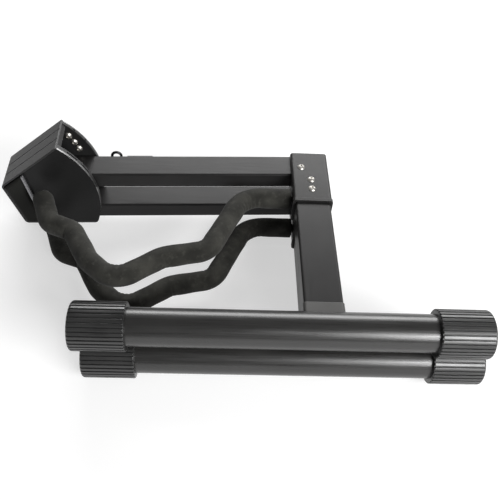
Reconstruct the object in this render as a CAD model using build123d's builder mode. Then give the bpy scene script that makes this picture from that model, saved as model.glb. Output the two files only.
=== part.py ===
from build123d import *
import os
from collections import namedtuple
from math import asin, cos, radians, sin, sqrt, tan

# Folding saxophone stand, folded flat and lying on its side. Millimetres.
# Two equal halves lie one above the other. Each half has a round foot tube along X,
# a box leg along +Y, a hinge sleeve on the leg and a box rail that folds back along -X.
# The two rails meet in a fan-shaped head. Z is up, the origin is under the middle.

# Foot
TUBE_D = 30.0
TUBE_WALL = 2.0
CAP_D = 38.3
CAP_LENGTH = 42.0
CAP_END_WALL = 4.0
CAP_END_ROUND = 2.4
CAP_BEVEL = 0.6
CAP_GROOVES = 34
GROOVE_WIDTH = 1.4
GROOVE_DEPTH = 1.3
FOOT_LENGTH = 320.5
FOOT_MID_X = 43.5
FOOT_Y = -89.2
PITCH = 38.7
HALF_SHIFT = 4.3

# Leg and its hinge sleeve
LEG_X = 75.5
LEG_WIDTH = 31.4
LEG_THICK = 22.0
LEG_WALL = 2.0
LEG_END_Y = FOOT_Y + 163.5
LEG_ROUND = 2.2
LEG_BORE_ROUND = 0.8
WELD_SIZE = 0.7
WELD_HEIGHT = 4.5
WELD_CHAMFER = 0.5
SLEEVE_WALL = 1.5
SLEEVE_GAP = 0.2
SLEEVE_START_Y = FOOT_Y + 130.0
SLEEVE_END_Y = FOOT_Y + 195.3
SLEEVE_ROUND = 2.8
SLEEVE_BAND = 3.4
SLEEVE_BAND_PROUD = 0.6
WINDOW_START_Y = FOOT_Y + 168.3
WINDOW_HALF_HEIGHT = 8.6
RIVET_YS = (FOOT_Y + 146.2, FOOT_Y + 158.4)
RIVET_SHANK_D = 4.2
RIVET_HEAD_D = 7.4
RIVET_HEAD_H = 1.9
DIMPLE_D = 2.6
DIMPLE_DEPTH = 1.1

# Fold hinge between leg and rail
HINGE_OFFSET = 8.2
HINGE_Y = FOOT_Y + 175.1
HINGE_PIN_D = 5.0
HINGE_CLEARANCE = 0.05
WASHER_D = 12.0
WASHER_GAP = 0.15
FOLD_LEAN = 2.77

# Rail
RAIL_WIDTH = 27.0
RAIL_THICK = 15.6
RAIL_WALL = 1.6
RAIL_ROUND = 1.8
RAIL_BORE_ROUND = 0.6
RAIL_TAIL = 9.0
RAIL_TO_HEAD_PIN = 258.0
TONGUE_REACH = 12.0
TONGUE_INSERT = 22.0
PLUG_INSERT = 18.0

# Head: spots are (along the rail, up) measured from the upper rail's hinge end
HEAD_HALF_WIDTH = 20.1
SHELL_THICK = 1.6
FAN_CENTRE = (-266.9, -18.2)
FAN_R = 78.5
FAN_CORNER = 4.0
WEB_ANGLE = 38.7
WEB_LOW_X = -274.8
WEB_LOW_Z = -0.6
FLANGE_Z = -48.1
FLANGE_START_X = -262.3
WEB_LIP = 5.7
WEB_GROOVE_YS = (-6.7, 6.7)
WEB_GROOVE_WIDTH = 1.0
WEB_GROOVE_DEPTH = 0.4
COVER_THICK = 2.0
CORE_THICK = 4.0
LINER_THICK = 3.0
REAR_COVER_THICK = 1.2
PLATE_GAP = 0.1
COVER_EDGE_X = -249.3
COVER_EDGE_TILT = 9.2
SLOT_ANGLES = (39.6, 27.3)
SLOT_LENGTH = 12.5
SLOT_WIDTH = 2.2
SLOT_DEPTH = 3.0
PAD_THICK = 5.0
PAD_GAP = 0.8
PAD_ROUND = 3.2
TRIM_WIDTH = 3.4
TRIM_PROUD = 5.0
TRIM_ROUND = 1.5
SCREW_HEAD_D = 7.0
SCREW_HEAD_H = 2.0
SCREW_SHANK_D = 4.0
SCREW_SOCKET = 2.4
SCREW_SPOTS = ((-214.8, 29.0), (-210.6, 21.8), (-207.4, 14.2))
HEAD_PIN_D = 6.0
HEAD_PINS = ((-RAIL_TO_HEAD_PIN, 0.0), (HALF_SHIFT - RAIL_TO_HEAD_PIN, -PITCH))
PIN_CLEARANCE = 0.05

# Spread lock: a bolt with a pull ring on the far side of the upper rail
LOCK_ANGLES = (0.0, 22.0, 35.0)
LOCK_ACROSS = 17.4
BOLT_D = 2.0
BOLT_START = -190.2
BOLT_END = -152.0
SOCKET_D = 2.2
SOCKET_R = 57.8
RING_R = 4.3
RING_WIRE = 2.6
RING_X = -173.6
RING_Z = 4.2
GUIDE_START = -164.0
GUIDE_END = -140.0
GUIDE_BORE_END = -142.0
GUIDE_BORE_D = 2.1
GUIDE_BACK = 20.4
GUIDE_LOW = -5.0
GUIDE_TOP = 2.4
GUIDE_ROUND = 1.0
SPRING_D = 1.9
SPRING_WIRE = 0.35
SPRING_PITCH = 0.9

# Arm: corners are (x, height above the foot's axis)
ROD_D = 8.0
ROD_START_X = 68.0
FOAM_D = 18.6
FOAM_START_X = 56.8
ARM_SOCKET = 144.6
ARM_CORNERS = (
    (12.8, ARM_SOCKET),
    (-16.3, 78.7),
    (-54.0, 70.0),
    (-91.0, 43.3),
    (-114.5, 64.6),
    (-132.6, 97.2),
    (-154.1, 105.9),
)
ARM_TIP = (-165.0, 133.5)
ARM_RADII = (26.0, 18.0, 25.0, 20.0, 25.0, 14.0, 14.0)
NUT_FLATS = 13.0
NUT_THICK = 4.5

LOWER_Z = CAP_D / 2
REAR_INNER = HEAD_HALF_WIDTH - REAR_COVER_THICK - LINER_THICK
UPPER_Z = LOWER_Z + PITCH
SLEEVE_WIDTH = LEG_WIDTH + 2 * (SLEEVE_GAP + SLEEVE_WALL)
SLEEVE_THICK = LEG_THICK + 2 * (SLEEVE_GAP + SLEEVE_WALL)
BORE_WIDTH = RAIL_WIDTH - 2 * RAIL_WALL
BORE_THICK = RAIL_THICK - 2 * RAIL_WALL
HINGE_X = LEG_X - HINGE_OFFSET
LEAN = (cos(radians(FOLD_LEAN)), sin(radians(FOLD_LEAN)))

Half = namedtuple("Half", "name dx dy z")
UPPER = Half("upper", 0.0, 0.0, UPPER_Z)
LOWER = Half("lower", HALF_SHIFT * LEAN[0], HALF_SHIFT * LEAN[1], LOWER_Z)
HALVES = (UPPER, LOWER)


def save(piece, name):
    piece.part.label = name
    export_step(piece.part, f"parts/{name}.step")
    return piece.part


def rail_frame(half):
    """Plane flat in the rail: x points along the rail to its hinge, y across it, z up."""
    x = HINGE_X + half.dx - HINGE_OFFSET * LEAN[1]
    y = HINGE_Y + half.dy + HINGE_OFFSET * LEAN[0]
    return Plane(origin=(x, y, half.z), x_dir=(LEAN[0], LEAN[1], 0), z_dir=(0, 0, 1))


def head_frame(across):
    """Upright plane along the upper rail, looking back; `across` is measured from mid-rail."""
    rail = rail_frame(UPPER)
    origin = rail.from_local_coords((0, across, 0))
    return Plane(origin=origin, x_dir=rail.x_dir, z_dir=(LEAN[1], -LEAN[0], 0))


def section_frame(half, along):
    """Plane square to the rail at a distance along it, facing the hinge."""
    rail = rail_frame(half)
    origin = rail.from_local_coords((along, 0, 0))
    return Plane(origin=origin, x_dir=rail.y_dir, z_dir=rail.x_dir)


# ---------------------------------------------------------------- feet

def foot_tube(half):
    middle = (FOOT_MID_X + half.dx, FOOT_Y + half.dy, half.z)
    with BuildPart() as tube:
        with BuildSketch(Plane(origin=middle, x_dir=(0, 1, 0), z_dir=(1, 0, 0))):
            Circle(TUBE_D / 2)
            Circle(TUBE_D / 2 - TUBE_WALL, mode=Mode.SUBTRACT)
        extrude(amount=FOOT_LENGTH / 2 - CAP_END_WALL, both=True)
    return save(tube, f"foot_tube_{half.name}")


def foot_cap(half, end_name, inward):
    """Ribbed rubber cap; inward is +1 at the end with the lowest X and -1 at the other."""
    end = (FOOT_MID_X + half.dx - inward * FOOT_LENGTH / 2, FOOT_Y + half.dy, half.z)
    radius = CAP_D / 2
    flat = radius - CAP_END_ROUND
    bulge = CAP_END_ROUND * (1 - sqrt(2) / 2)
    with BuildPart() as cap:
        with BuildSketch(Plane(origin=end, x_dir=(inward, 0, 0), z_dir=(0, -inward, 0))):
            with BuildLine():
                Line((0, 0), (0, flat))
                ThreePointArc((0, flat), (bulge, radius - bulge), (CAP_END_ROUND, radius))
                Polyline(
                    (CAP_END_ROUND, radius),
                    (CAP_LENGTH - CAP_BEVEL, radius),
                    (CAP_LENGTH, radius - CAP_BEVEL),
                    (CAP_LENGTH, TUBE_D / 2),
                    (CAP_END_WALL, TUBE_D / 2),
                    (CAP_END_WALL, 0),
                    (0, 0),
                )
            make_face()
        revolve(axis=Axis(end, (1, 0, 0)))
        with BuildSketch(Plane(origin=end, x_dir=(0, 0, 1), z_dir=(inward, 0, 0))):
            with PolarLocations(radius, CAP_GROOVES, start_angle=180 / CAP_GROOVES):
                Rectangle(2 * GROOVE_DEPTH, GROOVE_WIDTH)
        extrude(amount=CAP_LENGTH, mode=Mode.SUBTRACT)
    return save(cap, f"foot_cap_{half.name}_{end_name}")


# ---------------------------------------------------------------- legs and sleeves

def leg_section(half, y):
    return Plane(origin=(LEG_X + half.dx, y + half.dy, half.z), x_dir=(1, 0, 0), z_dir=(0, -1, 0))


def leg(half):
    bore_width = LEG_WIDTH - 2 * LEG_WALL
    bore_thick = LEG_THICK - 2 * LEG_WALL
    with BuildPart() as box_leg:
        with BuildSketch(leg_section(half, LEG_END_Y)):
            RectangleRounded(LEG_WIDTH, LEG_THICK, LEG_ROUND)
            RectangleRounded(bore_width, bore_thick, LEG_BORE_ROUND, mode=Mode.SUBTRACT)
        extrude(amount=LEG_END_Y - FOOT_Y)
        with BuildSketch(Plane(origin=(LEG_X + half.dx, FOOT_Y + half.dy, half.z), z_dir=(1, 0, 0))):
            Circle(TUBE_D / 2)
        extrude(amount=LEG_WIDTH, both=True, mode=Mode.SUBTRACT)
        with BuildSketch(Plane.XY.offset(half.z)):
            for y in RIVET_YS:
                with Locations((LEG_X + half.dx, y + half.dy)):
                    Circle(RIVET_SHANK_D / 2)
        extrude(amount=LEG_THICK, both=True, mode=Mode.SUBTRACT)
        with BuildSketch(socket_plane(half)):
            Circle(ROD_D / 2)
        extrude(amount=LEG_WALL, both=True, mode=Mode.SUBTRACT)
    return save(box_leg, f"leg_{half.name}")


def socket_plane(half):
    """Plane on the leg's flank where the arm's rod goes in, facing into the leg."""
    flank = LEG_X + half.dx - LEG_WIDTH / 2
    spot = (flank, FOOT_Y + ARM_SOCKET + half.dy, half.z)
    return Plane(origin=spot, x_dir=(0, 1, 0), z_dir=(1, 0, 0))


def leg_weld(half):
    """Weld bead round the foot of the leg, standing on the foot tube."""
    top_y = FOOT_Y + TUBE_D / 2 + WELD_HEIGHT
    width = LEG_WIDTH + 2 * WELD_SIZE
    thick = LEG_THICK + 2 * WELD_SIZE
    with BuildPart() as bead:
        with BuildSketch(leg_section(half, top_y)):
            RectangleRounded(width, thick, LEG_ROUND + WELD_SIZE)
        extrude(amount=TUBE_D / 2 + WELD_HEIGHT)
        chamfer(bead.faces().sort_by(Axis.Y)[-1].edges(), WELD_CHAMFER)
        with BuildSketch(leg_section(half, top_y)):
            RectangleRounded(LEG_WIDTH, LEG_THICK, LEG_ROUND)
        extrude(amount=TUBE_D / 2 + WELD_HEIGHT, mode=Mode.SUBTRACT)
        with BuildSketch(Plane(origin=(LEG_X + half.dx, FOOT_Y + half.dy, half.z), z_dir=(1, 0, 0))):
            Circle(TUBE_D / 2)
        extrude(amount=width, both=True, mode=Mode.SUBTRACT)
    return save(bead, f"leg_weld_{half.name}")


def hinge_sleeve(half):
    """Folded steel sleeve; its flank and far end are open where the rail swings through."""
    inner_width = SLEEVE_WIDTH - 2 * SLEEVE_WALL
    inner_thick = SLEEVE_THICK - 2 * SLEEVE_WALL
    band_width = SLEEVE_WIDTH + 2 * SLEEVE_BAND_PROUD
    band_thick = SLEEVE_THICK + 2 * SLEEVE_BAND_PROUD
    flank = LEG_X + half.dx - SLEEVE_WIDTH / 2
    with BuildPart() as sleeve:
        with BuildSketch(leg_section(half, SLEEVE_END_Y)):
            RectangleRounded(SLEEVE_WIDTH, SLEEVE_THICK, SLEEVE_ROUND)
        extrude(amount=SLEEVE_END_Y - SLEEVE_START_Y)
        with BuildSketch(leg_section(half, SLEEVE_START_Y + SLEEVE_BAND)):
            RectangleRounded(band_width, band_thick, SLEEVE_ROUND)
        extrude(amount=SLEEVE_BAND)
        with BuildSketch(leg_section(half, SLEEVE_END_Y)):
            RectangleRounded(inner_width, inner_thick, SLEEVE_ROUND - SLEEVE_WALL)
        extrude(amount=SLEEVE_END_Y - SLEEVE_START_Y, mode=Mode.SUBTRACT)
        window_plane = Plane(origin=(flank, half.dy, half.z), x_dir=(0, 1, 0), z_dir=(1, 0, 0))
        window_length = 2 * (SLEEVE_END_Y - WINDOW_START_Y)
        with BuildSketch(window_plane):
            with Locations((WINDOW_START_Y + window_length / 2, 0)):
                Rectangle(window_length, 2 * WINDOW_HALF_HEIGHT)
        extrude(amount=2 * SLEEVE_WALL, both=True, mode=Mode.SUBTRACT)
        with BuildSketch(socket_plane(half)):
            Circle(ROD_D / 2)
        extrude(amount=-2 * SLEEVE_WALL, mode=Mode.SUBTRACT)
        with BuildSketch(Plane.XY.offset(half.z)):
            for y in RIVET_YS:
                with Locations((LEG_X + half.dx, y + half.dy)):
                    Circle(RIVET_SHANK_D / 2)
            with Locations((HINGE_X + half.dx, HINGE_Y + half.dy)):
                Circle(HINGE_PIN_D / 2)
        extrude(amount=SLEEVE_THICK, both=True, mode=Mode.SUBTRACT)
    return save(sleeve, f"hinge_sleeve_{half.name}")


def dome_middle(rim, height):
    """Point half way down the round of a dome, measured from the middle of its base."""
    dome_r = (rim ** 2 + height ** 2) / (2 * height)
    half_angle = asin(rim / dome_r) / 2
    return (dome_r * sin(half_angle), height - dome_r * (1 - cos(half_angle)))


def rivets(half, name, spots, shank_r):
    """Rivets through the sleeve along Z, domed and dimpled at both ends."""
    face = SLEEVE_THICK / 2
    top = face + RIVET_HEAD_H
    rim = RIVET_HEAD_D / 2
    mid_r, mid_h = dome_middle(rim, RIVET_HEAD_H)
    with BuildPart() as pins:
        for x, y in spots:
            centre = (x + half.dx, y + half.dy, half.z)
            with BuildSketch(Plane(origin=centre, x_dir=(1, 0, 0), z_dir=(0, -1, 0))):
                with BuildLine():
                    ThreePointArc((0, top), (mid_r, face + mid_h), (rim, face))
                    Polyline((rim, face), (shank_r, face), (shank_r, -face), (rim, -face))
                    ThreePointArc((rim, -face), (mid_r, -face - mid_h), (0, -top))
                    Line((0, -top), (0, top))
                make_face()
            revolve(axis=Axis(centre, (0, 0, 1)))
            for side in (1, -1):
                with BuildSketch(Plane(origin=centre).offset(side * (top - DIMPLE_DEPTH))):
                    Circle(DIMPLE_D / 2)
                extrude(amount=side * RIVET_HEAD_H, mode=Mode.SUBTRACT)
    return save(pins, f"{name}_{half.name}")


def fold_washers(half):
    """Plastic washers that centre the rail between the sleeve's two walls."""
    inner_face = SLEEVE_THICK / 2 - SLEEVE_WALL
    rail_face = RAIL_THICK / 2 + WASHER_GAP
    with BuildPart() as washers:
        for side in (1, -1):
            with BuildSketch(Plane.XY.offset(half.z + side * inner_face)):
                with Locations((HINGE_X + half.dx, HINGE_Y + half.dy)):
                    Circle(WASHER_D / 2)
                    Circle(HINGE_PIN_D / 2, mode=Mode.SUBTRACT)
            extrude(amount=-side * (inner_face - rail_face))
    return save(washers, f"fold_washers_{half.name}")


# ---------------------------------------------------------------- rails

def rail(half):
    """Box rail from just past the fold hinge to just short of its pin in the head."""
    tube_end = TONGUE_REACH - RAIL_TO_HEAD_PIN
    with BuildPart() as box_rail:
        with BuildSketch(section_frame(half, RAIL_TAIL)):
            RectangleRounded(RAIL_WIDTH, RAIL_THICK, RAIL_ROUND)
            RectangleRounded(BORE_WIDTH, BORE_THICK, RAIL_BORE_ROUND, mode=Mode.SUBTRACT)
        extrude(amount=tube_end - RAIL_TAIL)
        with BuildSketch(rail_frame(half)):
            with Locations((0, -HINGE_OFFSET)):
                Circle(HINGE_PIN_D / 2 + HINGE_CLEARANCE)
        extrude(amount=RAIL_THICK, both=True, mode=Mode.SUBTRACT)
    return save(box_rail, f"rail_{half.name}")


def rail_plug(half):
    """Plastic plug that closes the hinge end of the rail and carries the fold pin."""
    with BuildPart() as plug:
        with BuildSketch(section_frame(half, RAIL_TAIL)):
            RectangleRounded(BORE_WIDTH, BORE_THICK, RAIL_BORE_ROUND)
        extrude(amount=-PLUG_INSERT)
        with BuildSketch(rail_frame(half)):
            with Locations((0, -HINGE_OFFSET)):
                Circle(HINGE_PIN_D / 2 + HINGE_CLEARANCE)
        extrude(amount=RAIL_THICK, both=True, mode=Mode.SUBTRACT)
    return save(plug, f"rail_plug_{half.name}")


def rail_tongue(half, pin_clearance):
    """Solid end block of the rail, rounded about its pin in the head."""
    rail_end = rail_frame(half)
    pin = rail_end.from_local_coords((-RAIL_TO_HEAD_PIN, -RAIL_WIDTH / 2, 0))
    upright = Plane(origin=pin, x_dir=rail_end.x_dir, z_dir=(LEAN[1], -LEAN[0], 0))
    with BuildPart() as tongue:
        with BuildSketch(upright):
            Circle(RAIL_THICK / 2)
            with Locations((TONGUE_REACH / 2, 0)):
                Rectangle(TONGUE_REACH, RAIL_THICK)
        extrude(amount=-RAIL_WIDTH)
        with BuildSketch(section_frame(half, TONGUE_REACH - RAIL_TO_HEAD_PIN)):
            RectangleRounded(BORE_WIDTH, BORE_THICK, RAIL_BORE_ROUND)
        extrude(amount=TONGUE_INSERT)
        with BuildSketch(upright):
            Circle(HEAD_PIN_D / 2 + pin_clearance)
        extrude(amount=-RAIL_WIDTH, mode=Mode.SUBTRACT)
    return save(tongue, f"rail_tongue_{half.name}")


# ---------------------------------------------------------------- head

def web_point(along, depth):
    """Spot in the head's upright plane, along the sloping web and down from its face."""
    slope = radians(WEB_ANGLE)
    x = WEB_LOW_X + along * cos(slope) + depth * sin(slope)
    z = WEB_LOW_Z + along * sin(slope) - depth * cos(slope)
    return (x, z)


def web_length():
    """Distance up the web's face to where the fan's arc crosses it."""
    slope = radians(WEB_ANGLE)
    dx = WEB_LOW_X - FAN_CENTRE[0]
    dz = WEB_LOW_Z - FAN_CENTRE[1]
    lead = dx * cos(slope) + dz * sin(slope)
    return sqrt(lead ** 2 - dx ** 2 - dz ** 2 + FAN_R ** 2) - lead


def crossing(p, u, q, v):
    """Where the line through p along u meets the line through q along v."""
    k = ((q[0] - p[0]) * v[1] - (q[1] - p[1]) * v[0]) / (u[0] * v[1] - u[1] * v[0])
    return (p[0] + k * u[0], p[1] + k * u[1])


def fan_corners(inset):
    """Straight sides of the fan, set in from its outside; an arc cuts off the wide end."""
    fall = (FLANGE_START_X - WEB_LOW_X, FLANGE_Z - WEB_LOW_Z)
    fall_length = sqrt(fall[0] ** 2 + fall[1] ** 2)
    end_dir = (fall[0] / fall_length, fall[1] / fall_length)
    web_dir = (cos(radians(WEB_ANGLE)), sin(radians(WEB_ANGLE)))
    on_end = (WEB_LOW_X - inset * end_dir[1], WEB_LOW_Z + inset * end_dir[0])
    web_low = crossing(web_point(0, inset), web_dir, on_end, end_dir)
    flange_low = crossing(on_end, end_dir, (FLANGE_START_X, FLANGE_Z + inset), (1, 0))
    web_far = (web_low[0] + 2 * FAN_R * web_dir[0], web_low[1] + 2 * FAN_R * web_dir[1])
    return [web_low, flange_low, (web_far[0], flange_low[1]), web_far]


def fan_sheet(inset, arc_r):
    """Flat fan with its narrow end and lower corners rounded."""
    with BuildSketch() as sheet:
        Polygon(*fan_corners(inset), align=None)
        with Locations(FAN_CENTRE):
            Circle(arc_r, mode=Mode.INTERSECT)
        fillet(sheet.vertices().sort_by(Axis.Y)[:2], FAN_CORNER - inset)
        fillet(sheet.vertices().sort_by(Axis.X)[0], FAN_CORNER - inset)
    return sheet.sketch


def web_face():
    """Plane on the outside of the web: x points up the slope, z away from the head."""
    upright = head_frame(0)
    slope = radians(WEB_ANGLE)
    up = upright.x_dir * cos(slope) + upright.y_dir * sin(slope)
    out = upright.y_dir * cos(slope) - upright.x_dir * sin(slope)
    start = upright.from_local_coords((WEB_LOW_X, WEB_LOW_Z, 0))
    return Plane(origin=start, x_dir=up, z_dir=out)


def beside_cover_edge(shift, side):
    """Large area on one side of the cover's tilted edge; side is +1 toward the hinges."""
    lean = tan(radians(COVER_EDGE_TILT)) * FAN_R
    edge = COVER_EDGE_X + shift
    with BuildSketch() as area:
        Polygon(
            (edge - lean, FAN_R),
            (edge + lean, -FAN_R),
            (edge + 2 * side * FAN_R, -FAN_R),
            (edge + 2 * side * FAN_R, FAN_R),
            align=None,
        )
    return area.sketch


def head_shell():
    """Bent strip that closes the head: sloping web with a lip, narrow end and lower flange."""
    top = web_length()
    lip_front = HEAD_HALF_WIDTH - COVER_THICK - CORE_THICK - PLATE_GAP
    lip_rear = REAR_INNER - PLATE_GAP
    with BuildPart() as shell:
        with BuildSketch(head_frame(-HEAD_HALF_WIDTH)):
            add(fan_sheet(0, FAN_R))
            add(fan_sheet(SHELL_THICK, FAN_R + FAN_CORNER), mode=Mode.SUBTRACT)
        extrude(amount=-2 * HEAD_HALF_WIDTH)
        with BuildSketch(head_frame(-lip_front)):
            Polygon(
                web_point(top, SHELL_THICK / 2),
                web_point(top, WEB_LIP),
                web_point(top - SHELL_THICK, WEB_LIP),
                web_point(top - SHELL_THICK, SHELL_THICK / 2),
                align=None,
            )
        extrude(amount=-(lip_front + lip_rear))
        with BuildSketch(web_face()):
            for across in WEB_GROOVE_YS:
                with Locations((top, across)):
                    Rectangle(2 * top, WEB_GROOVE_WIDTH)
        extrude(amount=-WEB_GROOVE_DEPTH, mode=Mode.SUBTRACT)
    return save(shell, "head_shell")


def front_cover():
    """Smooth outer cheek; it stops short of the head's narrow end."""
    with BuildPart() as cover:
        with BuildSketch(head_frame(-HEAD_HALF_WIDTH)):
            add(fan_sheet(SHELL_THICK + PLATE_GAP, FAN_R))
            add(beside_cover_edge(0, 1), mode=Mode.INTERSECT)
        extrude(amount=-COVER_THICK)
    return save(cover, "front_cover")


def front_core():
    """Thick inner cheek; two slots are sunk in its curved edge."""
    slot_start = HEAD_HALF_WIDTH - COVER_THICK - (CORE_THICK + SLOT_WIDTH) / 2
    with BuildPart() as core:
        with BuildSketch(head_frame(COVER_THICK - HEAD_HALF_WIDTH)):
            add(fan_sheet(SHELL_THICK + PLATE_GAP, FAN_R))
            with Locations(*HEAD_PINS):
                Circle(HEAD_PIN_D / 2, mode=Mode.SUBTRACT)
        extrude(amount=-CORE_THICK)
        with BuildSketch(head_frame(-slot_start - SLOT_WIDTH)):
            for angle in SLOT_ANGLES:
                x = FAN_CENTRE[0] + FAN_R * cos(radians(angle))
                z = FAN_CENTRE[1] + FAN_R * sin(radians(angle))
                with Locations(Location((x, z, 0), (0, 0, angle))):
                    Rectangle(2 * SLOT_DEPTH, SLOT_LENGTH)
        extrude(amount=-SLOT_WIDTH, mode=Mode.SUBTRACT)
    return save(core, "front_core")


def rear_sheet():
    """Rear cheek outline with holes for the screws."""
    with BuildSketch() as sheet:
        add(fan_sheet(SHELL_THICK + PLATE_GAP, FAN_R))
        with Locations(*SCREW_SPOTS):
            Circle(SCREW_SHANK_D / 2, mode=Mode.SUBTRACT)
    return sheet.sketch


def rear_liner():
    """Thick inner layer of the rear cheek; its rim is drilled to take the lock bolt."""
    with BuildPart() as liner:
        with BuildSketch(head_frame(REAR_INNER)):
            add(rear_sheet())
            with Locations(*HEAD_PINS):
                Circle(HEAD_PIN_D / 2, mode=Mode.SUBTRACT)
        extrude(amount=-LINER_THICK)
        upright = head_frame(LOCK_ACROSS)
        for angle in LOCK_ANGLES:
            out = upright.x_dir * cos(radians(angle)) + upright.y_dir * sin(radians(angle))
            pin = upright.from_local_coords((*HEAD_PINS[0], 0))
            with BuildSketch(Plane(origin=pin + out * SOCKET_R, z_dir=out)):
                Circle(SOCKET_D / 2)
            extrude(amount=FAN_R - SOCKET_R, mode=Mode.SUBTRACT)
    return save(liner, "rear_liner")


def rear_cover():
    with BuildPart() as cover:
        with BuildSketch(head_frame(HEAD_HALF_WIDTH - REAR_COVER_THICK)):
            add(rear_sheet())
        extrude(amount=-REAR_COVER_THICK)
    return save(cover, "rear_cover")


def head_screws():
    """Domed screws on the inside of the rear cheek."""
    rim = SCREW_HEAD_D / 2
    shank = SCREW_SHANK_D / 2
    length = LINER_THICK + REAR_COVER_THICK
    mid_r, mid_h = dome_middle(rim, SCREW_HEAD_H)
    forward = head_frame(0).z_dir
    with BuildPart() as screws:
        for x, z in SCREW_SPOTS:
            seat = head_frame(REAR_INNER).from_local_coords((x, z, 0))
            with BuildSketch(Plane(origin=seat, x_dir=(0, 0, 1), z_dir=rail_frame(UPPER).x_dir)):
                with BuildLine():
                    Polyline((0, SCREW_HEAD_H), (0, -length), (shank, -length), (shank, 0), (rim, 0))
                    ThreePointArc((rim, 0), (mid_r, mid_h), (0, SCREW_HEAD_H))
                make_face()
            revolve(axis=Axis(seat, forward))
            with BuildSketch(Plane(origin=seat, z_dir=forward).offset(SCREW_HEAD_H - DIMPLE_DEPTH)):
                RegularPolygon(SCREW_SOCKET / 2, 6, major_radius=False)
            extrude(amount=SCREW_HEAD_H, mode=Mode.SUBTRACT)
    return save(screws, "head_screws")


def head_pin(name, spot):
    """Plain pin from the front cover to the rear cover."""
    length = 2 * HEAD_HALF_WIDTH - COVER_THICK - REAR_COVER_THICK
    with BuildPart() as pin:
        with BuildSketch(head_frame(COVER_THICK - HEAD_HALF_WIDTH)):
            with Locations(spot):
                Circle(HEAD_PIN_D / 2)
        extrude(amount=-length)
    return save(pin, name)


def pin_spacers():
    """Washers on the head pins between the rails and the rear cheek."""
    rail_face = RAIL_WIDTH / 2 + WASHER_GAP
    with BuildPart() as spacers:
        with BuildSketch(head_frame(REAR_INNER)):
            with Locations(*HEAD_PINS):
                Circle(WASHER_D / 2)
                Circle(HEAD_PIN_D / 2, mode=Mode.SUBTRACT)
        extrude(amount=REAR_INNER - rail_face)
    return save(spacers, "pin_spacers")


def end_pad():
    """Soft pad on the narrow end of the front cheek, beside the cover."""
    with BuildPart() as pad:
        with BuildSketch(head_frame(COVER_THICK - HEAD_HALF_WIDTH)) as outline:
            add(fan_sheet(SHELL_THICK + PAD_GAP, FAN_R))
            add(beside_cover_edge(-TRIM_WIDTH, -1), mode=Mode.INTERSECT)
        extrude(amount=PAD_THICK)
        front = pad.faces().sort_by(Axis(outline.faces()[0].center(), head_frame(0).z_dir))[-1]
        fillet(front.edges(), PAD_ROUND)
    return save(pad, "end_pad")


def cheek_trim():
    """Bright bar that stands between the end pad and the front cover."""
    with BuildPart() as trim:
        with BuildSketch(head_frame(COVER_THICK - HEAD_HALF_WIDTH)) as outline:
            add(fan_sheet(SHELL_THICK + PAD_GAP, FAN_R))
            add(beside_cover_edge(0, -1), mode=Mode.INTERSECT)
            add(beside_cover_edge(-TRIM_WIDTH, 1), mode=Mode.INTERSECT)
        extrude(amount=TRIM_PROUD)
        front = trim.faces().sort_by(Axis(outline.faces()[0].center(), head_frame(0).z_dir))[-1]
        fillet(front.edges(), TRIM_ROUND)
    return save(trim, "cheek_trim")


# ---------------------------------------------------------------- spread lock

def lock_bolt():
    """Bolt with a pull ring; it slides into the notches of the rear cheek."""
    with BuildPart(head_frame(LOCK_ACROSS)) as bolt:
        with Locations((RING_X, RING_Z, 0)):
            Torus(RING_R, RING_WIRE / 2)
        with BuildSketch(section_frame(UPPER, BOLT_START)):
            with Locations((LOCK_ACROSS, 0)):
                Circle(BOLT_D / 2)
        extrude(amount=BOLT_END - BOLT_START)
    return save(bolt, "lock_bolt")


def lock_guide():
    """Block on the rail's far side with a blind bore for the bolt and its spring."""
    depth = GUIDE_BACK - RAIL_WIDTH / 2
    height = GUIDE_TOP - GUIDE_LOW
    with BuildPart() as guide:
        with BuildSketch(section_frame(UPPER, GUIDE_START)):
            with Locations((RAIL_WIDTH / 2 + depth / 2, GUIDE_LOW + height / 2)):
                block = Rectangle(depth, height)
            fillet(block.vertices().group_by(Axis.X)[-1], GUIDE_ROUND)
        extrude(amount=GUIDE_END - GUIDE_START)
        with BuildSketch(section_frame(UPPER, GUIDE_START)):
            with Locations((LOCK_ACROSS, 0)):
                Circle(GUIDE_BORE_D / 2)
        extrude(amount=GUIDE_BORE_END - GUIDE_START, mode=Mode.SUBTRACT)
    return save(guide, "lock_guide")


def lock_spring():
    """Coil spring behind the bolt, in the blind end of the bore."""
    rail_line = rail_frame(UPPER)
    height = GUIDE_BORE_END - BOLT_END - 2 * SPRING_WIRE
    start = rail_line.from_local_coords((BOLT_END + SPRING_WIRE, LOCK_ACROSS, 0))
    coil_r = (SPRING_D - SPRING_WIRE) / 2
    coil = Helix(SPRING_PITCH, height, coil_r, center=start, direction=rail_line.x_dir)
    with BuildPart() as spring:
        with BuildSketch(Plane(origin=coil @ 0, z_dir=coil % 0)):
            Circle(SPRING_WIRE / 2)
        sweep(path=coil, is_frenet=True)
    return save(spring, "lock_spring")


# ---------------------------------------------------------------- arms

def arm_path(half, start_x):
    """Centre line of an arm: straight runs joined by round bends."""
    knots = [(start_x, ARM_SOCKET), *ARM_CORNERS, ARM_TIP]
    spots = [Vector(x + half.dx, FOOT_Y + y + half.dy, half.z) for x, y in knots]
    with BuildLine() as path:
        reached = spots[0]
        for before, corner, after, radius in zip(spots, spots[1:], spots[2:], ARM_RADII):
            back = (before - corner).normalized()
            ahead = (after - corner).normalized()
            reach = radius / tan(radians(back.get_angle(ahead)) / 2)
            Line(reached, corner + back * reach)
            TangentArc(corner + back * reach, corner + ahead * reach, tangent=back * -1)
            reached = corner + ahead * reach
        Line(reached, spots[-1])
    return path.wires()[0]


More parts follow.
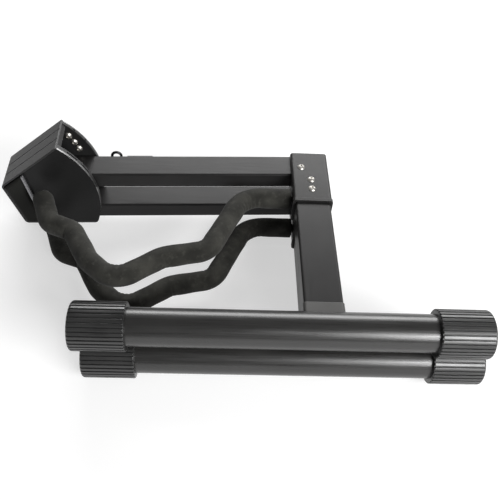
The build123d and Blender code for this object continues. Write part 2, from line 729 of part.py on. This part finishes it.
def arm_rod(half):
    path = arm_path(half, ROD_START_X)
    with BuildPart() as rod:
        with BuildSketch(Plane(origin=path @ 0, z_dir=path % 0)):
            Circle(ROD_D / 2)
        sweep(path=path)
    return save(rod, f"arm_rod_{half.name}")


def arm_foam(half):
    """Foam sleeve over the rod, closed and round at the tip."""
    path = arm_path(half, FOAM_START_X)
    with BuildPart() as foam:
        with BuildSketch(Plane(origin=path @ 0, z_dir=path % 0)):
            Circle(FOAM_D / 2)
        sweep(path=path)
        with Locations(path @ 1):
            Sphere(FOAM_D / 2)
        with BuildSketch(Plane(origin=path @ 0, z_dir=path % 0)):
            Circle(ROD_D / 2)
        sweep(path=path, mode=Mode.SUBTRACT)
    return save(foam, f"arm_foam_{half.name}")


def arm_nut(half):
    """Hexagon nut on the rod's end, inside the leg."""
    with BuildPart() as nut:
        with BuildSketch(socket_plane(half).offset(LEG_WALL)):
            RegularPolygon(NUT_FLATS / 2, 6, major_radius=False)
            Circle(ROD_D / 2, mode=Mode.SUBTRACT)
        extrude(amount=NUT_THICK)
    return save(nut, f"arm_nut_{half.name}")


# ---------------------------------------------------------------- the whole stand

os.makedirs("parts", exist_ok=True)
for each in HALVES:
    foot_tube(each)
    foot_cap(each, "left", 1)
    foot_cap(each, "right", -1)
    leg(each)
    leg_weld(each)
    hinge_sleeve(each)
    rivets(each, "sleeve_rivets", [(LEG_X, y) for y in RIVET_YS], RIVET_SHANK_D / 2)
    rivets(each, "fold_pin", [(HINGE_X, HINGE_Y)], HINGE_PIN_D / 2)
    fold_washers(each)
    rail(each)
    rail_plug(each)
    arm_rod(each)
    arm_foam(each)
    arm_nut(each)
rail_tongue(UPPER, PIN_CLEARANCE)
rail_tongue(LOWER, 0)
head_shell()
front_cover()
front_core()
rear_liner()
rear_cover()
head_screws()
head_pin("spread_pin", HEAD_PINS[0])
head_pin("lower_rail_pin", HEAD_PINS[1])
pin_spacers()
end_pad()
cheek_trim()
lock_bolt()
lock_guide()
lock_spring()
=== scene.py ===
"""Looks for a folding saxophone stand, folded flat and lying on its side.

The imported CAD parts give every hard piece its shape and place. This script adds the
foam sleeves, the materials, a pale studio floor, soft lights and the camera.
"""
import math

import bpy
import numpy as np
from mathutils import Matrix, Vector


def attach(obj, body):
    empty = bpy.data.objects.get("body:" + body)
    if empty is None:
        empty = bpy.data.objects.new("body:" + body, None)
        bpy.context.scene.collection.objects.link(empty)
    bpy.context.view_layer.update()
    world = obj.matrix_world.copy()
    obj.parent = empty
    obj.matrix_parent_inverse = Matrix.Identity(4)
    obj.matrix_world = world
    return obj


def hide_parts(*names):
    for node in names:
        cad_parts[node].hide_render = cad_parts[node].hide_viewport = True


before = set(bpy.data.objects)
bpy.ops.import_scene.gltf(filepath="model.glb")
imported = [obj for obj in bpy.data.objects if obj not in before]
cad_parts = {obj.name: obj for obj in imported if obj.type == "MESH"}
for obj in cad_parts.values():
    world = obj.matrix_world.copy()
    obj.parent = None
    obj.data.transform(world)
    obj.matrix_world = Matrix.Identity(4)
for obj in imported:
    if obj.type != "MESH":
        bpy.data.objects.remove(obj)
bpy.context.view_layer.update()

MM = 0.001
LEAN = math.radians(2.77)
PLATE_NORMAL = (math.sin(LEAN), -math.cos(LEAN), 0.0)

# ------------------------------------------------------------------ camera

CAMERA_SPOT = Vector((-4.0, -357.5, 452.9)) * MM
CAMERA_RIGHT = Vector((0.9986476, -0.0082239, 0.0513356))
CAMERA_UP = Vector((-0.0278075, 0.7498109, 0.6610676))
CAMERA_LENS = 44.74
SENSOR_WIDTH = 36.0
CLIP_START = 0.01


def make_camera():
    data = bpy.data.cameras.new("camera")
    data.lens = CAMERA_LENS
    data.sensor_width = SENSOR_WIDTH
    data.clip_start = CLIP_START
    camera = bpy.data.objects.new("camera", data)
    bpy.context.scene.collection.objects.link(camera)
    right = CAMERA_RIGHT.normalized()
    back = right.cross(CAMERA_UP).normalized()
    up = back.cross(right)
    turn = Matrix((right, up, back)).transposed().to_4x4()
    camera.matrix_world = Matrix.Translation(CAMERA_SPOT) @ turn
    bpy.context.scene.camera = camera


# ------------------------------------------------------------------ materials

# Pale edge tone: partly real wear, partly a painted highlight on rounded corners.
WORN_AND_HIGHLIT_EDGE_TONE = (0.30, 0.30, 0.31)
WORN_AND_HIGHLIT_EDGE_WIDTH = 0.35 * MM
ROUNDING = 0.4 * MM
FINE_ROUNDING = 0.3 * MM
PLATE_ROUNDING = 0.35 * MM
BEVEL_SAMPLES = 4
SHADE_SAMPLES = 6
EVEN = (1.0, 1.0, 1.0)
ALONG_X = (0.03, 1.0, 1.0)
ALONG_Y = (1.0, 0.03, 1.0)


def scaled(tone, factor):
    return tuple(factor * c for c in tone)


class Nodes:
    """A material's node tree, with short calls for the nodes used here."""

    def __init__(self, name):
        self.material = bpy.data.materials.new(name)
        self.material.use_nodes = True
        self.tree = self.material.node_tree
        self.shader = self.tree.nodes["Principled BSDF"]
        self.coords = self.tree.nodes.new("ShaderNodeTexCoord")

    def node(self, kind, **settings):
        made = self.tree.nodes.new(kind)
        for key, value in settings.items():
            setattr(made, key, value)
        return made

    def link(self, start, end):
        self.tree.links.new(start, end)

    def fixed(self, **values):
        for key, value in values.items():
            self.shader.inputs[key.replace("_", " ")].default_value = value

    def stretched(self, scale):
        """Object coordinates, scaled along each axis."""
        mapping = self.node("ShaderNodeMapping")
        mapping.inputs["Scale"].default_value = scale
        self.link(self.coords.outputs["Object"], mapping.inputs["Vector"])
        return mapping.outputs["Vector"]

    def noise(self, scale, detail=4.0, stretch=EVEN):
        made = self.node("ShaderNodeTexNoise")
        made.inputs["Scale"].default_value = scale
        made.inputs["Detail"].default_value = detail
        self.link(self.stretched(stretch), made.inputs["Vector"])
        return made.outputs["Fac"]

    def cells(self, scale, feature="F1"):
        made = self.node("ShaderNodeTexVoronoi", feature=feature)
        made.inputs["Scale"].default_value = scale
        self.link(self.coords.outputs["Object"], made.inputs["Vector"])
        return made.outputs["Distance"]

    def ramp(self, source, low, high):
        """Maps source to a colour between two stops, each (position, colour)."""
        made = self.node("ShaderNodeValToRGB")
        for stop, (place, colour) in zip(made.color_ramp.elements, (low, high)):
            stop.position = place
            stop.color = (*colour, 1.0)
        self.link(source, made.inputs["Fac"])
        return made.outputs["Color"]

    def spread(self, source, low, high, start=0.0, end=1.0):
        """Maps source linearly from start..end to low..high."""
        made = self.node("ShaderNodeMapRange")
        limits = {"From Min": start, "From Max": end, "To Min": low, "To Max": high}
        for key, value in limits.items():
            made.inputs[key].default_value = value
        self.link(source, made.inputs["Value"])
        return made.outputs["Result"]

    def math(self, kind, first, second):
        made = self.node("ShaderNodeMath", operation=kind)
        for socket, value in zip(made.inputs, (first, second)):
            if isinstance(value, (int, float)):
                socket.default_value = value
            else:
                self.link(value, socket)
        return made.outputs[0]

    def mix(self, factor, first, second):
        made = self.node("ShaderNodeMix", data_type="RGBA")
        sockets = (made.inputs[0], made.inputs[6], made.inputs[7])
        for socket, value in zip(sockets, (factor, first, second)):
            if isinstance(value, tuple):
                socket.default_value = (*value, 1.0)
            else:
                self.link(value, socket)
        return made.outputs[2]

    def round_edges(self, radius):
        made = self.node("ShaderNodeBevel", samples=BEVEL_SAMPLES)
        made.inputs["Radius"].default_value = radius
        return made.outputs["Normal"]

    def edge_mask(self, radius):
        """About 1 along sharp outer and inner edges, 0 on open faces."""
        soft = self.round_edges(radius)
        geometry = self.node("ShaderNodeNewGeometry")
        dot = self.node("ShaderNodeVectorMath", operation="DOT_PRODUCT")
        self.link(soft, dot.inputs[0])
        self.link(geometry.outputs["Normal"], dot.inputs[1])
        return self.spread(dot.outputs["Value"], 1.0, 0.0, 0.8, 0.99)

    def bump(self, height, strength, distance, normal=None):
        made = self.node("ShaderNodeBump")
        made.inputs["Strength"].default_value = strength
        made.inputs["Distance"].default_value = distance
        self.link(height, made.inputs["Height"])
        if normal is not None:
            self.link(normal, made.inputs["Normal"])
        return made.outputs["Normal"]

    def finish(self, colour=None, roughness=None, normal=None, metallic=None):
        for key, source in (
            ("Base Color", colour),
            ("Roughness", roughness),
            ("Normal", normal),
            ("Metallic", metallic),
        ):
            if source is not None:
                self.link(source, self.shader.inputs[key])
        return self.material


def anodised(name, tone, rough, grain, gloss=0.22, edge_wear_and_highlight=0.5):
    """Satin black anodised aluminium with a faint drawn grain and thin bright edges, partly wear and
    partly painted highlight.
    """
    n = Nodes(name)
    n.fixed(Metallic=0.0, Specular_IOR_Level=gloss)
    streaks = n.noise(900.0, 3.0, grain)
    cloud = n.noise(28.0, 3.0)
    base = n.ramp(cloud, (0.3, scaled(tone, 0.82)), (0.7, scaled(tone, 1.15)))
    # Edges are lifted towards the pale tone: partly wear, partly a painted highlight along the rounded
    # corners.
    edges = n.edge_mask(WORN_AND_HIGHLIT_EDGE_WIDTH)
    patches = n.spread(n.noise(160.0), 0.35 * edge_wear_and_highlight, edge_wear_and_highlight, 0.36, 0.6)
    wear_and_highlight = n.math("MULTIPLY", edges, patches)
    colour = n.mix(wear_and_highlight, base, WORN_AND_HIGHLIT_EDGE_TONE)
    roughness = n.spread(streaks, rough - 0.05, rough + 0.07, 0.3, 0.7)
    normal = n.bump(streaks, 0.12, 0.06 * MM, n.round_edges(ROUNDING))
    return n.finish(colour, roughness, normal)


def bare_metal(name, tone=(0.62, 0.62, 0.63), rough=0.26):
    n = Nodes(name)
    n.fixed(Metallic=1.0)
    scratches = n.noise(700.0, 5.0)
    base = n.ramp(scratches, (0.3, scaled(tone, 0.8)), (0.7, tone))
    roughness = n.spread(scratches, rough, rough + 0.16, 0.3, 0.7)
    normal = n.bump(scratches, 0.15, 0.05 * MM, n.round_edges(FINE_ROUNDING))
    return n.finish(base, roughness, normal)


def moulded(name, tone, rough, cell=1500.0, height=0.08, gloss=0.4, groove=0.0):
    """Moulded plastic or rubber with a fine pebbled skin; painted shade darkens the colour inside any
    grooves, which are also rougher.
    """
    n = Nodes(name)
    n.fixed(Specular_IOR_Level=gloss)
    pebbles = n.cells(cell, "SMOOTH_F1")
    cloud = n.noise(45.0, 4.0)
    base = n.ramp(cloud, (0.3, scaled(tone, 0.8)), (0.72, scaled(tone, 1.25)))
    roughness = n.spread(cloud, rough - 0.06, rough + 0.08, 0.3, 0.7)
    if groove:
        # Painted shade: the colour darkens inside grooves, found by local occlusion.
        shade = n.node("ShaderNodeAmbientOcclusion", samples=SHADE_SAMPLES, only_local=True)
        shade.inputs["Distance"].default_value = groove
        groove_shade = n.spread(shade.outputs["AO"], 1.0, 0.0, 0.45, 0.85)
        roughness = n.math("ADD", roughness, n.math("MULTIPLY", groove_shade, 0.5))
        base = n.mix(groove_shade, base, scaled(tone, 0.25))
    normal = n.bump(pebbles, 0.35, height * MM, n.round_edges(ROUNDING))
    return n.finish(base, roughness, normal)


def foam_skin(name, tone):
    """Closed-cell foam: matte and mottled, with tiny open cells darkened by painted shade and a faint
    dusty bloom.
    """
    n = Nodes(name)
    n.fixed(Specular_IOR_Level=0.12, Sheen_Weight=0.08, Sheen_Roughness=0.5)
    small = n.cells(1900.0)
    large = n.cells(750.0)
    blotch = n.noise(75.0, 6.0)
    dust = n.noise(230.0, 5.0)
    mottled = n.ramp(blotch, (0.34, scaled(tone, 0.62)), (0.68, scaled(tone, 1.45)))
    bloom = n.spread(dust, 0.0, 0.6, 0.55, 0.75)
    dusty = n.mix(bloom, mottled, scaled(tone, 2.1))
    # Painted shade darkens the bottoms of the tiny open cells.
    pit_shade = n.spread(small, 0.5, 0.0, 0.05, 0.4)
    colour = n.mix(pit_shade, dusty, scaled(tone, 0.35))
    fine = n.bump(small, 0.5, 0.12 * MM)
    normal = n.bump(large, 0.35, 0.18 * MM, fine)
    return n.finish(colour, n.spread(blotch, 0.78, 0.95, 0.3, 0.7), normal)


def cheek(name, tone, rough, rim_tone, textured):
    """Head plate: painted face, bare metal on its cut edges."""
    n = Nodes(name)
    n.fixed(Specular_IOR_Level=0.16)
    dot = n.node("ShaderNodeVectorMath", operation="DOT_PRODUCT")
    dot.inputs[1].default_value = PLATE_NORMAL
    n.link(n.coords.outputs["Normal"], dot.inputs[0])
    rim = n.spread(n.math("ABSOLUTE", dot.outputs["Value"], 0.0), 1.0, 0.0, 0.6, 0.9)
    scratches = n.noise(500.0, 5.0)
    paint = n.ramp(n.noise(40.0), (0.3, scaled(tone, 0.85)), (0.7, scaled(tone, 1.15)))
    metal = n.ramp(scratches, (0.3, scaled(rim_tone, 0.75)), (0.7, rim_tone))
    colour = n.mix(rim, paint, metal)
    roughness = n.spread(scratches, rough - 0.05, rough + 0.1, 0.3, 0.7)
    grain = n.cells(1300.0, "SMOOTH_F1") if textured else scratches
    normal = n.bump(grain, 0.5 if textured else 0.12, 0.1 * MM, n.round_edges(PLATE_ROUNDING))
    return n.finish(colour, roughness, normal, rim)


def paint_nodes():
    """Gives every CAD node its finish."""
    tube = anodised("tube_anodised", (0.014, 0.0135, 0.013), 0.30, ALONG_X, 0.75, 0.1)
    leg = anodised("leg_anodised", (0.016, 0.0155, 0.0155), 0.36, ALONG_Y)
    # Rail, sleeve and head core get stronger bright edges: partly wear, partly painted highlight along
    # their edges.
    rail = anodised("rail_anodised", (0.014, 0.0135, 0.0135), 0.36, ALONG_X, edge_wear_and_highlight=0.8)
    sleeve = anodised("sleeve_paint", (0.017, 0.0165, 0.016), 0.36, EVEN, edge_wear_and_highlight=0.9)
    # The weld bead's tone is lighter than the leg's: a painted highlight along the bead.
    weld = anodised("weld_painted_highlight", (0.05, 0.049, 0.047), 0.4, EVEN, 0.5, 0.9)
    core = anodised("core_paint", (0.03, 0.03, 0.03), 0.42, EVEN, 0.3, 1.0)
    shell = anodised("shell_paint", (0.021, 0.0205, 0.0205), 0.38, EVEN, 0.3, 0.8)
    rod = anodised("rod_paint", (0.012, 0.012, 0.012), 0.35, ALONG_X)
    # The cap grooves get painted shade in their colour.
    rubber = moulded("cap_rubber", (0.012, 0.012, 0.0118), 0.34, gloss=0.85, groove=1.6 * MM)
    plastic = moulded("plastic", (0.010, 0.010, 0.010), 0.42)
    rough_plastic = moulded("textured_plastic", (0.012, 0.012, 0.012), 0.5, 900.0, 0.2)
    bright = bare_metal("bright_steel", (0.66, 0.64, 0.60), 0.34)
    trim = bare_metal("trim_steel", (0.30, 0.30, 0.31), 0.34)
    pad = moulded("pad_rubber", (0.012, 0.012, 0.0105), 0.6, gloss=0.12)
    cover = cheek("cover_paint", (0.010, 0.010, 0.010), 0.38, (0.30, 0.30, 0.30), False)
    dark_steel = bare_metal("blackened_steel", (0.05, 0.05, 0.052), 0.25)
    looks = {
        "foot_tube": tube,
        "foot_cap": rubber,
        "leg_weld": weld,
        "leg": leg,
        "hinge_sleeve": sleeve,
        "sleeve_rivets": bright,
        "fold_pin": bright,
        "fold_washers": plastic,
        "rail_plug": plastic,
        "rail_tongue": rail,
        "rail": rail,
        "arm_rod": rod,
        "arm_nut": bright,
        "head_shell": shell,
        "front_cover": cover,
        "front_core": core,
        "rear_liner": rough_plastic,
        "rear_cover": cover,
        "head_screws": bright,
        "spread_pin": bright,
        "lower_rail_pin": bright,
        "pin_spacers": plastic,
        "end_pad": pad,
        "lock_guide": plastic,
        "lock_bolt": dark_steel,
        "cheek_trim": trim,
        "lock_spring": bright,
    }
    for name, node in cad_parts.items():
        family = max((key for key in looks if name.startswith(key)), key=len, default=None)
        if family is None:
            continue
        node.data.materials.clear()
        node.data.materials.append(looks[family])


# ------------------------------------------------------------------ foam arms

ARM_CORNERS = (
    (56.8, 144.6),
    (12.8, 144.6),
    (-16.3, 78.7),
    (-54.0, 70.0),
    (-91.0, 43.3),
    (-114.5, 64.6),
    (-132.6, 97.2),
    (-154.1, 105.9),
    (-165.0, 133.5),
)
ARM_RADII = (26.0, 18.0, 25.0, 20.0, 25.0, 14.0, 14.0)
UPPER_FOOT = (0.0, -89.2, 57.85)
LOWER_FOOT = (4.295, -88.992, 19.15)
FOAM_TONE = (0.029, 0.0285, 0.025)
FOAM_R = 9.3
BODY_R = FOAM_R - 0.2
ROD_R = 4.0
STEP = 1.0
RING = 48
BLEND_STEPS = 13
CREASE_STEP = 5.5
CREASE_DEPTH = 26.0
CREASE_POWER = 1.3
TIP_RINGS = 12
# Rings of the cut inner end: how far along the rod each is, and its radius.
CUT_END = (
    (5.0, ROD_R + 0.05),
    (0.5, ROD_R + 0.05),
    (0.0, ROD_R + 0.4),
    (0.0, FOAM_R - 1.5),
    (0.35, FOAM_R - 0.55),
    (0.9, FOAM_R - 0.1),
)
# Soft lumps along the foam: height, length and phase of each wave.
LUMPS = ((0.12, 7.0, 0.0), (0.08, 3.1, 1.0))


def arm_line():
    """Points along an arm's middle, a step apart, and how sharply it bends to its left."""
    points, bends = [], []
    corners = [np.array(c) for c in ARM_CORNERS]
    reached = corners[0]
    for before, corner, after, radius in zip(corners, corners[1:], corners[2:], ARM_RADII):
        back = (before - corner) / np.linalg.norm(before - corner)
        ahead = (after - corner) / np.linalg.norm(after - corner)
        angle = math.acos(float(np.dot(back, ahead)))
        reach = radius / math.tan(angle / 2)
        start, turn = corner + back * reach, math.pi - angle
        side = 1.0 if back[0] * ahead[1] - back[1] * ahead[0] < 0 else -1.0
        count = max(1, round(float(np.linalg.norm(start - reached)) / STEP))
        for k in range(count):
            points.append(reached + (start - reached) * k / count)
            bends.append(0.0)
        inward = np.array((back[1], -back[0])) * side
        centre = start + inward * radius
        count = max(4, round(radius * turn / STEP))
        for k in range(count):
            swing = side * turn * k / count
            spoke = start - centre
            c, s = math.cos(swing), math.sin(swing)
            points.append(centre + np.array((c * spoke[0] - s * spoke[1], s * spoke[0] + c * spoke[1])))
            bends.append(side / radius)
        reached = corner + ahead * reach
    count = round(float(np.linalg.norm(corners[-1] - reached)) / STEP)
    for k in range(count + 1):
        points.append(reached + (corners[-1] - reached) * k / count)
        bends.append(0.0)
    return np.array(points), np.array(bends)


def foam_ring(centre, side, radius, squeeze=0.0):
    """Points round the foam in the arm's own plane, pressed in on the side given."""
    row = []
    for k in range(RING):
        turn = 2 * math.pi * k / RING
        c, s = math.cos(turn), math.sin(turn)
        r = radius - squeeze * max(0.0, c) ** 2
        x, y = centre + side * c * r
        row.append((x, y, s * r))
    return row


def foam_rings():
    """Rings from the cut inner end to the round tip, and the point that closes the tip."""
    points, bends = arm_line()
    kernel = np.hanning(BLEND_STEPS)
    padded = np.pad(bends, BLEND_STEPS // 2, mode="edge")
    bends = np.convolve(padded, kernel / kernel.sum(), mode="valid")
    along = np.gradient(points, axis=0)
    along /= np.linalg.norm(along, axis=1)[:, None]
    left = np.stack((-along[:, 1], along[:, 0]), axis=1)
    rows = [foam_ring(points[0] + along[0] * reach, left[0], radius) for reach, radius in CUT_END]
    travelled = 0.0
    for k in range(2, len(points)):
        travelled += float(np.linalg.norm(points[k] - points[k - 1]))
        phase = 0.5 + 0.5 * math.cos(travelled * 2 * math.pi / CREASE_STEP)
        bend = float(bends[k])
        lumps = sum(height * math.sin(travelled / length + start) for height, length, start in LUMPS)
        squeeze = CREASE_DEPTH * abs(bend) ** CREASE_POWER * phase
        row = foam_ring(points[k], left[k] * (1.0 if bend >= 0 else -1.0), BODY_R + lumps, squeeze)
        if bend < 0:
            row = [row[(RING // 2 - j) % RING] for j in range(RING)]
        rows.append(row)
    for k in range(1, TIP_RINGS):
        swing = math.pi / 2 * k / TIP_RINGS
        centre = points[-1] + along[-1] * BODY_R * math.sin(swing)
        rows.append(foam_ring(centre, left[-1], BODY_R * math.cos(swing)))
    end = points[-1] + along[-1] * BODY_R
    return rows, (end[0], end[1], 0.0)


def tube_faces(count):
    """Faces between a number of rings, and a fan from the last one to the closing point."""
    faces = []
    for i in range(count - 1):
        for j in range(RING):
            a, b = i * RING + j, i * RING + (j + 1) % RING
            faces.append((a, b, b + RING, a + RING))
    last = (count - 1) * RING
    for j in range(RING):
        faces.append((last + j, last + (j + 1) % RING, count * RING))
    return faces


def foam_arm(half, body, foot):
    """Foam sleeve with a cut inner end, a round tip and soft creases inside its bends.

    foot is the middle of that half's foot axis.
    """
    rows, end = foam_rings()
    spots = [spot for row in rows for spot in row] + [end]
    vertices = [((foot[0] + x) * MM, (foot[1] + y) * MM, (foot[2] + z) * MM) for x, y, z in spots]
    mesh = bpy.data.meshes.new(f"foam_sleeve_{half}")
    mesh.from_pydata(vertices, [], tube_faces(len(rows)))
    mesh.update()
    mesh.validate()
    for face in mesh.polygons:
        face.use_smooth = True
    piece = bpy.data.objects.new(f"foam_sleeve_{half}", mesh)
    bpy.context.scene.collection.objects.link(piece)
    skin = bpy.data.materials.get("foam_skin") or foam_skin("foam_skin", FOAM_TONE)
    piece.data.materials.append(skin)
    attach(piece, body)
    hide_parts(f"arm_foam_{half}")


# ------------------------------------------------------------------ floor and lights

SKY_LEVEL = 0.2
WHITE = (1.0, 1.0, 1.0, 1.0)
FLOOR_REACH = 6.0
FLOOR_GLOW = 0.56
FLOOR_DARK = (0.50, 0.50, 0.50)
FLOOR_LIGHT = (0.52, 0.52, 0.52)
# Name, direction from the object's middle, distance, width, depth and watts.
LIGHTS = (
    ("back_softbox", (0.16, 0.82, 0.54), 1.6, 1.7, 0.62, 26.0),
    ("front_right_softbox", (0.56, -0.66, 0.50), 1.4, 0.8, 0.6, 24.0),
)


def make_sky():
    """Dim even surroundings; the softboxes do the rest."""
    world = bpy.data.worlds.new("studio")
    world.use_nodes = True
    background = world.node_tree.nodes["Background"]
    background.inputs["Color"].default_value = WHITE
    background.inputs["Strength"].default_value = SKY_LEVEL
    bpy.context.scene.world = world


def make_stage():
    """Glowing paper floor and the softboxes."""
    floor_mesh = bpy.data.meshes.new("floor")
    corners = [(x * FLOOR_REACH, y * FLOOR_REACH, 0) for x, y in ((-1, -1), (1, -1), (1, 1), (-1, 1))]
    floor_mesh.from_pydata(corners, [], [(0, 1, 2, 3)])
    floor = bpy.data.objects.new("floor", floor_mesh)
    bpy.context.scene.collection.objects.link(floor)
    floor.visible_diffuse = False
    n = Nodes("floor_paper")
    n.fixed(Specular_IOR_Level=0.0, Roughness=0.9)
    n.fixed(Emission_Color=WHITE, Emission_Strength=FLOOR_GLOW)
    tone = n.ramp(n.noise(3.0), (0.3, FLOOR_DARK), (0.7, FLOOR_LIGHT))
    floor_mesh.materials.append(n.finish(tone))
    for name, direction, distance, width, depth, power in LIGHTS:
        add_light(name, Vector(direction).normalized() * distance, width, depth, power)
    bpy.context.scene.view_settings.view_transform = "Standard"


def add_light(name, spot, width, depth, power):
    data = bpy.data.lights.new(name, "AREA")
    data.shape = "RECTANGLE"
    data.size = width
    data.size_y = depth
    data.energy = power
    lamp = bpy.data.objects.new(name, data)
    lamp.location = spot
    lamp.rotation_euler = (-spot).to_track_quat("-Z", "Y").to_euler()
    bpy.context.scene.collection.objects.link(lamp)


make_camera()
paint_nodes()
foam_arm("upper", "leg_upper", UPPER_FOOT)
foam_arm("lower", "leg_lower", LOWER_FOOT)
make_sky()
make_stage()
